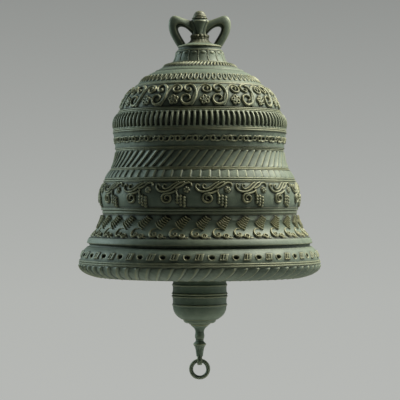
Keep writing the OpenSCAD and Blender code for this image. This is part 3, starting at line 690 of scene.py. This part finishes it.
def draw_leaf(c):
    z = -308.4
    # the spiral, whose stem rises to the foot of the leaf
    c.ball(-0.4, c.up(z + 0.6), 4.6, 0.5)
    spiral = c.at([(4.4, 7.4), (-0.4, 7.4), (-4.2, 4.6), (-4.9, 0.6), (-2.7, -2.8), (1.4, -3.6),
                   (5.4, -2.4), (7.6, -3.2)], z)
    c.stroke(spiral, [0.8, 1.1, 1.6, 1.8, 1.7, 1.4, 1.1, 0.6], 3.0)
    c.ring(2.4, c.up(z), 2.5, 1.0, 2.5)
    c.ball(2.4, c.up(z), 1.0, 2.3)
    # the small ring to its right, with its tail
    c.ring(12.4, c.up(z - 2.6), 3.4, 1.3, 2.6)
    c.ball(12.4, c.up(z - 2.6), 1.4, 2.5)
    c.stroke(c.at([(15.4, -4.2), (18.2, -4.6), (20.6, -4.2)], z), [1.0, 0.6], 1.3)
    # the leaf leans to the right: a low pad that is crossed by folded ribs
    pad = c.at([(4.8, 12.4), (8.6, 15.8), (12.8, 19.6), (16.6, 22.4)], z)
    c.stroke(pad, [4.6, 6.2, 5.8, 4.2], 0.7)
    ribs = 6
    for k in range(ribs):
        f = k / (ribs - 1)
        x, rise = 4.6 + 12.6 * f, 10.2 + 12.6 * f
        left = (-3.4 + 1.0 * f, 5.4 - 3.0 * f)
        right = (7.0 - 2.2 * f, -4.2 + 2.6 * f)
        sides = ((1, left), (0.5, left), (0, left), (0.5, right), (1, right))
        rib = c.at([(x + share * dx, rise + share * dy) for share, (dx, dy) in sides], z)
        c.stroke(rib, [0.9, 1.05, 1.1, 1.1, 1.0], 4.2, steps=3)


def draw_lip(c):
    y = c.up(-340.0)
    c.stroke([(-4.6, y + 3.0), (-5.0, y), (-3.0, y - 3.8)], [0.6, 1.1, 0.7], 0.9)
    # half way between two holes a square tablet that leans to the right, with two slots
    v = c.y - y - 0.3
    u = c.x - c.pitch * 0.5 - 0.30 * v
    tablet = np.clip((5.4 - np.maximum(0.92 * np.abs(u), np.abs(v))) / 0.9, 0, 1)
    c.h = np.maximum(c.h, 1.5 * tablet)
    for at, half, depth in ((-3.2, 1.3, 2.0), (0.6, 1.1, 1.1)):
        across = np.clip((half - np.abs(u - at)) / 0.6, 0, 1)
        c.h = c.h - depth * across * np.clip((3.6 - np.abs(v)) / 0.8, 0, 1)
    # a deep hole, wider than it is high
    c.pit(0, y, 3.3, 4.0, flat=1.28, power=0.55)


relief_band("neck_petal_band", NECK, 16, 36, draw_neck, 4, seed=11, phase=-3.2, ground=0.6)
relief_band("rope_band", ROPE, 64, 16, draw_rope, 7, seed=12, phase=-3.08, ground=1.3, step=0.45,
            soot_and_shade=1.5)
relief_band("tongue_band", TONGUE, 64, 20, draw_tongue, 7, seed=13, phase=5.05, ground=0.5,
            step=0.5, soot_and_shade=0.5)
relief_band("dome_scroll_band", DOME, 16, 88, draw_dome, 6, seed=14, phase=3.7, ground=2.0,
            step=0.66, lift=1.1)
relief_band("flute_band", FLUTE, 98, 16, draw_flute, 5, seed=15, phase=0.40, ground=0.8,
            wear=0.6, rough=0.6)
relief_band("chain_band", CHAIN, 32, 42, draw_chain, 4, seed=16, phase=-5.1, ground=0.9)
relief_band("slant_flute_band", SLANT, 64, 21, draw_slant, 4.5, seed=17, phase=1.9, ground=0.6,
            rough=0.6)
relief_band("bar_band", BAR, 64, 22, draw_bar, 4, seed=18, phase=1.25, ground=0.3, rough=0.6)
relief_band("vine_band", VINE, 16, 92, draw_vine, 4.6, seed=19, phase=4.4, ground=1.3, lift=1.25)
relief_band("leaf_band", LEAF, 32, 46, draw_leaf, 4, seed=20, phase=-2.4, ground=0.9, step=0.64,
            wear=1.35, soot_and_shade=1.6)
relief_band("lip_stud_band", LIP, 32, 54, draw_lip, 6.5, seed=21, phase=5.5, ground=0.5)
relief_band("gadroon_band", GADROON, 64, 26, draw_gadroon, 3.6, seed=22, phase=3.17, ground=0.6,
            step=0.7)

# Bell wall

BOLT_HOLE = 6.3


def recess(line, depth):
    """The wall behind a band: in, down its back and out again."""
    gap = 0.1
    back = line[[0, -1]] - (depth, 0) - (gap, 0)
    return np.vstack([line[:1], back, line[-1:]])


def beads(upper_r, lower_r, top, foot, groove, proud):
    """Two round fillets, one above the other, with a groove between them."""
    bed, seam = 1.0, 0.02
    drop = (top - foot) / 2
    out = []
    for r, level in ((upper_r, top), (lower_r, top - drop)):
        for f in np.linspace(0, math.pi, 9)[:-1]:
            out.append((r - bed + proud * math.sin(f), level - drop * 0.43 * (1 - math.cos(f)) - seam))
        out.append((r - bed - groove * 0.6, level - drop * 0.93))
    out[-1] = (lower_r - bed, foot + seam)
    return out


OUTSIDE = np.vstack([
    recess(NECK, 4),
    [(41.6, -54.5)],
    recess(ROPE, 7),
    [(60.4, -64.4), (61.4, -65.2), (65.8, -66.6), (66.6, -67.4)],
    arc((67.2, -68.6), (79.6, -75.2), 0.6, 10)[:-1],
    recess(TONGUE, 7),
    [(92.2, -86.8), (94.2, -88.0), (94.4, -88.5), (95.1, -88.5), (96.6, -89.5), (97.0, -90)],
    recess(DOME, 6),
    beads(121.6, 123.2, -126.5, -131.5, 1.0, 0.8),
    recess(FLUTE, 5),
    beads(130.2, 130.4, -155.5, -160.5, 1.4, 0.8),
    recess(CHAIN, 4),
    beads(127.0, 126.0, -183, -188, 1.4, 0.8),
    recess(SLANT, 4.5),
    beads(133.7, 135.5, -212.5, -216.5, 1.5, 0.8),
    recess(BAR, 4),
    beads(142.8, 144.4, -227.5, -233.5, 1.7, 1.0),
    recess(VINE, 4.6),
    beads(147.4, 145.8, -271.5, -280.5, 1.8, 1.2),
    recess(LEAF, 4),
    arc((165.2, -315.5), (168.8, -323.4), 0.5, 10)[1:],
    [(168.3, -324.1), (166.0, -324.5), (164.8, -326.4), (165.6, -328.8), (167.6, -329.3)],
    recess(LIP, 6.5),
    beads(180.6, 181.2, -348.5, -354.5, 1.2, 0.8),
    [(180.2, -354.5), (176.5, -354.5), (151.6, -374.4)],
])
MOUTH = (149.4, -374.4)
# from the mouth's inner edge up to the underside of the head
INSIDE = smooth([(147.5, -354.5), (143.5, -312), (142.2, -298), (134, -280.5), (133, -233.5),
                 (122, -216.5), (115.4, -188), (116.4, -176.7), (114.5, -131.5), (98.6, -112.6),
                 (83.1, -99.9), (74.8, -89.3), (52.3, -75.6)], 6)
wall = np.vstack([(BOLT_HOLE, -38), OUTSIDE, MOUTH, INSIDE, (20.5, -50), (BOLT_HOLE, -50)])
lathe("bell_wall_cast", wall, BELL_CAST, ["bell_wall"], corner=50, cols=320, wear=0.55)

# Crown

LOOP_OUTER = np.vstack([
    bezier((31, -34), (39.6, -20), (48, -9), (46.6, 5), 24),
    bezier((46.6, 5), (46.2, 12), (42, 16.9), (37, 16.6), 18, 1),
    bezier((37, 16.6), (30, 15.6), (24, 11), (8, 8), 24, 1)])
LOOP_INNER = np.vstack([
    bezier((17, -33), (22, -23), (32.8, -9), (32.2, -3), 24),
    bezier((32.2, -3), (32, -1.2), (30.2, 0), (28.2, 0), 18, 1),
    bezier((28.2, 0), (21.2, 0), (16, -5), (8, -15.1), 24, 1)])
LOOP_HALF_DEPTH = 6.4
# share of the half width, share of the half depth, edge, and hollow for dirt and painted shade, of each
# point of the front half: round outside, with a sharp crease near the inner side, darkened as painted
# shade
SECTION_FRONT = [(1.0, 0.0, 0.3, 0), (0.95, 0.26, 0.3, 0), (0.81, 0.50, 0.3, 0), (0.58, 0.71, 0.1, 0),
                 (0.27, 0.87, 0, 0), (-0.10, 0.97, 0, 0), (-0.40, 1.0, 0.5, 0), (-0.48, 0.97, 0.4, 0.2),
                 (-0.56, 0.76, 0, 1.0), (-0.72, 0.66, 0, 0.8), (-0.92, 0.48, 0.1, 0.5),
                 (-1.0, 0.24, 0.1, 0.5)]
SECTION_BACK = [(a, -b, e, o) for a, b, e, o in SECTION_FRONT[:0:-1]]
SECTION = np.array(SECTION_FRONT + [(-1.0, 0.0, 0.2, 0)] + SECTION_BACK)


def crown_loop(name, side):
    """A bar of the section SECTION, bent between the outer and the inner line of the loop."""
    middle = ((LOOP_OUTER + LOOP_INNER) / 2)[:, None, :]
    half = ((LOOP_OUTER - LOOP_INNER) / 2)[:, None, :]
    across, deep, edge, hollow = SECTION.T
    p = middle + across[None, :, None] * half
    y = LOOP_HALF_DEPTH * deep + 0 * p[:, :, 0]
    verts = np.stack([side * p[:, :, 0], y, p[:, :, 1]], -1).reshape(-1, 3)
    rows, k = y.shape
    quads = np.roll(tube_quads(rows, k)[:-k, ::-1], 1, axis=1)
    first = [(0, j + 1, j) for j in range(1, k - 1)]
    end = (rows - 1) * k
    last = [(end, end + j, end + j + 1) for j in range(1, k - 1)]
    caps = np.array(first + last)
    if side < 0:
        quads = quads[:, ::-1]
        caps = caps[:, [0, 2, 1]]
    make(name, verts, quads, BELL_CAST, ["crown_casting"], np.tile(edge, rows),
         np.tile(hollow, rows), sharp=50, tris=caps)


crown_loop("crown_loop_r", 1)
crown_loop("crown_loop_l", -1)

foot = [(BOLT_HOLE, -25.8), (20.0, -25.9), (22.6, -26.5), (27.4, -27.5), (31.4, -28.9), (32.9, -29.9),
        (33.0, -30.9), (32.0, -31.9), (31.7, -33.2), (32.1, -34.8), (33.2, -36.0), (34.4, -36.5),
        (34.8, -37.2), (34.2, -37.9), (33.2, -37.9), (32.2, -37.2), (BOLT_HOLE, -37.2)]
lathe("crown_foot", rounded(foot, 0.6), BELL_CAST, ["crown_casting"], corner=60)


def crown_column():
    """The flared column, with broad folds that lean towards the loops as they rise."""
    folds, fold_height, sink, cols = 8, 1.5, 0.7, 192
    top, lean_from, foot = 10.0, -14, -18.6
    line = resample(np.vstack([(BOLT_HOLE, top), (12.6, top),
                               arc((13.8, 7.0), (11, -13.8), -1.6, 20),
                               (10.6, foot), (BOLT_HOLE, foot)]), 0.5)
    angles = turn(cols)
    r = line[:, :1]
    z = line[:, 1:]
    rise = np.clip((z - lean_from) / (top - lean_from), 0, 1)
    lean = angles + 0.55 * rise * np.sin(2 * angles)
    off = np.abs(((lean / TAU * folds + 0.5) % 1.0) * 2 - 1)
    # the folds fade out at both ends and stay on the column's outside
    live = np.clip((9.4 - z) / 1.6, 0, 1) * np.clip((z + 15) / 2.5, 0, 1) * (r > 10)
    h = live * (fold_height * (1 - off ** 1.5) - sink)
    # the dips between the folds get dirt and painted shade
    d = h - blur(h, 2.5)
    make("crown_column", spin(r + h, z, angles), tube_quads(len(line), cols), BELL_CAST,
         ["crown_casting"], np.clip(d * 3.5, 0, 1), np.clip(-d * 3.5, 0, 1), sharp=60)


crown_column()


def bead_ring():
    """The beads round the column's foot, no two of them alike."""
    beads_round, ring_r, rows = 14, 11.2, 18
    for i in range(beads_round):
        f = TAU * (i + 0.16 * math.sin(2.3 * i)) / beads_round
        r = 3.0 + 0.35 * math.sin(1.7 * i + 1)
        g = np.linspace(0, math.pi, rows)
        line = np.column_stack([r * np.sin(g), r * np.cos(g)])
        line[[0, -1], 0] = 0
        lathe("crown_bead_%02d" % i, line, CROWN_WORN, ["crown_casting"], corner=80, cols=28,
              centre=(ring_r * math.cos(f), ring_r * math.sin(f), -15.0), wear=1.4)


bead_ring()


def lobed(name, outline, lobes, amount, kind, nodes, soot_and_shade):
    """A turned piece whose rim swells into lobes."""
    cols, inner_r = 192, 6
    line = resample(rounded(outline, 0.7), 0.35)
    angles = turn(cols)
    r = line[:, :1]
    z = line[:, 1:]
    reach = np.clip((r - inner_r) / 4, 0, 1)
    h = amount * (np.abs(np.sin(angles * lobes / 2)) ** 0.7 - 0.6) * reach
    # the dips between the lobes get dirt and painted shade
    d = h - blur(h, 3)
    make(name, spin(r + h, z, angles), tube_quads(len(line), cols), kind, nodes,
         np.clip(d * 2 + 0.2 * reach, 0, 1), np.clip(-d * soot_and_shade, 0, 1), sharp=60)


lobed("finial_washer_cast", [(4.3, 13.8), (9.4, 13.8), (11.4, 13.2), (11.9, 12.2), (10.8, 10.8),
                             (4.3, 10.4)], 12, 0.6, FINIAL_WORN, ["finial_washer"], soot_and_shade=4)
lobed("crown_cone", [(BOLT_HOLE, -16.6), (12.4, -16.8), (13.8, -18.2), (13.2, -19.6), (14.6, -22.0),
                     (17.4, -24.6), (21.4, -26.6), (BOLT_HOLE, -26.8)],
      18, 0.5, CROWN_WORN, ["crown_casting"], soot_and_shade=1.5)
bud = smooth([(0.6, 23.8), (3.6, 23.3), (6.2, 21.8), (7.7, 19.8), (8.3, 18.6)], 5)
bud_low = smooth([(8.5, 18.0), (9.4, 17.0), (10.0, 15.6), (9.8, 13.8)], 5)
lathe("finial_bud", np.vstack([(0, 23.8), bud, bud_low, (0, 13.8)]), FINIAL_WORN, ["finial_nut"],
      corner=60, cols=96)

# Clapper

ROD_HOLE = 7.1
DRUM_TOP_Z = -354
BELT_Z = -402.0
BELT_R = 40.4
DRUM_FOOT_Z = -438.5
DISC_FOOT_Z = -446.5
SPINDLE_FOOT_Z = -494.5


def belt(up):
    """The drum's outline over its belt for up = 1, or under it for up = -1."""
    line = [(40.6, 0.3), (41.6, 0.9), (42.2, 1.8), (41.8, 2.8), (40.8, 3.4), (40.2, 8.5), (40.4, 13.0),
            (41.2, 13.8), (41.4, 15.4), (40.6, 16.6), (40.2, 17.5)]
    return np.array([(r, BELT_Z + up * rise) for r, rise in line])


upper = np.vstack([
    [(ROD_HOLE, DRUM_TOP_Z), (17, DRUM_TOP_Z), (18, -358), (19.4, -359), (22.4, -364)],
    arc((24.4, -364), (40.1, BELT_Z + 18.2), 3.6, 12),
    belt(1)[::-1],
    [(BELT_R, BELT_Z), (ROD_HOLE, BELT_Z)]])
lower = np.vstack([
    [(ROD_HOLE, BELT_Z), (BELT_R, BELT_Z)],
    belt(-1),
    arc((40.1, BELT_Z - 18.2), (29.6, -437), 2.6, 12),
    [(28.0, DRUM_FOOT_Z), (ROD_HOLE, DRUM_FOOT_Z)]])
disc = [(ROD_HOLE, DRUM_FOOT_Z), (24.9, DRUM_FOOT_Z), (24.9, -439.7), (23.3, -442.7), (21.3, -444.1),
        (16.4, -444.1), (15.4, DISC_FOOT_Z), (ROD_HOLE, DISC_FOOT_Z)]
lathe("drum_upper_cast", rounded(upper, 0.4), CLAPPER_CAST, ["drum_upper"], corner=50, cols=240)
lathe("drum_lower_cast", rounded(lower, 0.4), CLAPPER_CAST, ["drum_lower"], corner=50, cols=240)
lathe("drum_disc_cast", rounded(disc, 0.5), CLAPPER_CAST, ["drum_disc"], corner=50)

baluster = smooth([(13.2, -448.3), (11.6, -449.4), (8.0, -453.0), (6.5, -457), (6.6, -460), (7.2, -464),
                   (6.4, -467.6), (5.9, -469), (6.2, -472), (8.2, -474), (9.7, -476.1), (8.6, -478.2),
                   (7.4, -480.2), (6.2, -484), (5.6, -488), (5.0, -492), (4.9, SPINDLE_FOOT_Z)], 4)
spindle = np.vstack([(5.1, DISC_FOOT_Z), (13.2, DISC_FOOT_Z), (13.4, -447.0), baluster,
                     (0, SPINDLE_FOOT_Z)])
lathe("tail_spindle_turned", spindle, CLAPPER_CAST, ["tail_spindle"], corner=50, cols=96, closed=False)

RING_AXIS_Z = -500.5


def lug():
    """The rounded lug, with the ring's hole through it along X."""
    hole, out, half, cols = 4.25, 7.2, 3.5, 64
    angles = turn(cols)[0]
    top = np.clip(np.sin(angles), 0, 1) ** 2
    # radius, place along the hole, and wear
    rows = [(hole, -half, 0.6), (hole + 0.5, -half - 0.2, 0.6), (out - 0.9, -half, 0.7),
            (out - 0.1, -half + 0.9, 0.5), (out, 0, 0.1), (out - 0.1, half - 0.9, 0.5),
            (out - 0.9, half, 0.7), (hole + 0.5, half + 0.2, 0.6), (hole, half, 0.6),
            (hole - 0.25, 0, 0.1)]
    verts = []
    for r, x, _ in rows:
        grow = top * (r - hole) * 0.30
        y = (r + grow * 0.3) * np.cos(angles)
        z = (r + grow) * np.sin(angles) + RING_AXIS_Z
        verts.append(np.column_stack([np.full(cols, x), y, z]))
    edge = np.repeat([wear for _, _, wear in rows], cols)
    make("tail_lug", np.vstack(verts), tube_quads(len(rows), cols), CLAPPER_CAST, ["tail_spindle"],
         edge, sharp=60)


lug()


def ring():
    """The pull ring, whose wire is a little uneven."""
    ring_r, wire_r, centre_z = 12.75, 2.95, -513.55
    rows, cols = 160, 32
    f = turn(rows).T
    g = turn(cols)
    w = wire_r * (1 + 0.03 * np.sin(2 * f + 1) + 0.02 * np.sin(5 * f))
    r = ring_r + w * np.cos(g)
    verts = np.stack([r * np.cos(f), w * np.sin(g), centre_z + r * np.sin(f)], -1).reshape(-1, 3)
    edge = np.clip(0.25 + 0.3 * np.cos(g) + 0 * f, 0, 1)
    make("pull_ring_forged", verts, tube_quads(rows, cols), RING_FORGED, ["pull_ring"], edge)


ring()

# The hidden iron and the gasket keep their CAD shapes
KEEP = {"eye_bolt": IRON, "head_washer": IRON, "lock_nut": IRON, "shackle_pin": IRON,
        "cotter_pin": IRON, "shackle_bow": IRON, "clapper_rod": IRON, "crown_gasket": LEATHER}
for node, material in KEEP.items():
    ob = frame["nodes"][node]
    ob.data.materials.clear()
    ob.data.materials.append(material)

# Stage, in metres: a level camera with a long lens, in mm, that frames the bell as the photo does

LENS = 144.7
CAMERA_AT = (0.0005, -2.412, -0.2600)
FLOOR_SIDE = 3.4
FLOOR_AT = (0, 0.1, -0.95)

cam = bpy.data.cameras.new("camera")
cam.sensor_width = 36
cam.lens = LENS
cam.clip_end = 20
cam_ob = bpy.data.objects.new("camera", cam)
cam_ob.location = CAMERA_AT
cam_ob.rotation_euler = (math.pi / 2, 0, 0)
bpy.context.scene.collection.objects.link(cam_ob)
bpy.context.scene.camera = cam_ob

MIDDLE = (0, 0, -0.25)


def lamp(name, where, side, power, colour):
    """A square lamp that faces the middle of the bell."""
    light = bpy.data.lights.new(name, "AREA")
    light.shape = "RECTANGLE"
    light.size = side
    light.size_y = side
    light.energy = power
    light.color = colour
    ob = bpy.data.objects.new(name, light)
    ob.location = where
    ob.rotation_euler = (Vector(MIDDLE) - Vector(where)).to_track_quat("-Z", "Z").to_euler()
    bpy.context.scene.collection.objects.link(ob)


lamp("right", (1.25, 0.28, 1.28), 0.8, 59, (1.0, 0.94, 0.83))
lamp("right_front", (1.24, -0.33, 1.28), 1.0, 18, (1.0, 0.98, 0.88))
lamp("right_low", (1.92, 0.52, 0.10), 1.0, 8, (0.94, 1.0, 0.96))
lamp("left", (-1.89, 0.76, 0.45), 0.6, 22, (0.82, 1.0, 1.0))

# a pale floor under the hanging bell, below the picture
bpy.ops.mesh.primitive_plane_add(size=FLOOR_SIDE, location=FLOOR_AT)
floor = bpy.context.object
floor.name = "floor"
pale = bpy.data.materials.new("floor_pale")
pale.use_nodes = True
pale_inputs = pale.node_tree.nodes["Principled BSDF"].inputs
pale_inputs["Base Color"].default_value = (0.50, 0.51, 0.50, 1)
pale_inputs["Roughness"].default_value = 0.9
floor.data.materials.append(pale)


def world():
    """A pale sheet behind the bell for the camera and for mirrors, and a dim studio for light."""
    w = bpy.data.worlds.new("studio")
    w.use_nodes = True
    bpy.context.scene.world = w
    t = w.node_tree
    t.nodes.clear()
    path = t.nodes.new("ShaderNodeLightPath")
    coord = t.nodes.new("ShaderNodeTexCoord")
    split = t.nodes.new("ShaderNodeSeparateXYZ")
    t.links.new(coord.outputs["Generated"], split.inputs[0])
    low_to_high = maths(t, "MULTIPLY_ADD", split.outputs["Z"], 0.5, 0.5)
    front_to_back = maths(t, "MULTIPLY_ADD", split.outputs["Y"], 0.5, 0.5)

    # what the camera sees: a grey sheet, a little lighter towards its foot
    behind = maths(t, "MULTIPLY_ADD", split.outputs["Z"], 2.0, 0.5)
    seen = ramp(t, behind, [(0.26, (0.470, 0.480, 0.462)), (0.38, (0.452, 0.463, 0.444)),
                            (0.50, (0.407, 0.418, 0.402)), (0.62, (0.351, 0.361, 0.347)),
                            (0.75, (0.287, 0.297, 0.285))])
    # what lights the bronze: dark in front, paler behind, above and below
    lit = ramp(t, low_to_high, [(0.10, (0.06, 0.06, 0.058)), (0.45, (0.036, 0.038, 0.036)),
                                (0.60, (0.042, 0.044, 0.042)), (1.0, (0.14, 0.145, 0.145))])
    lit = mix(t, 1.0, lit, ramp(t, front_to_back, [(0.15, 0.12), (0.50, 0.7), (0.80, 1.0)]), "MULTIPLY")
    # metal mirrors the sheet, which stands behind the bell: in front the studio is dark
    mirrored = mix(t, 1.0, seen, ramp(t, front_to_back, [(0.35, 0.12), (0.62, 1.0)]), "MULTIPLY")
    mirror = maths(t, "ADD", path.outputs["Is Glossy Ray"], path.outputs["Is Transmission Ray"],
                   clamp=True)
    shown = mix(t, mirror, lit, mirrored)
    back = t.nodes.new("ShaderNodeBackground")
    t.links.new(mix(t, path.outputs["Is Camera Ray"], shown, seen), back.inputs["Color"])
    out = t.nodes.new("ShaderNodeOutputWorld")
    t.links.new(back.outputs[0], out.inputs[0])


world()
bpy.context.scene.view_settings.view_transform = "Standard"
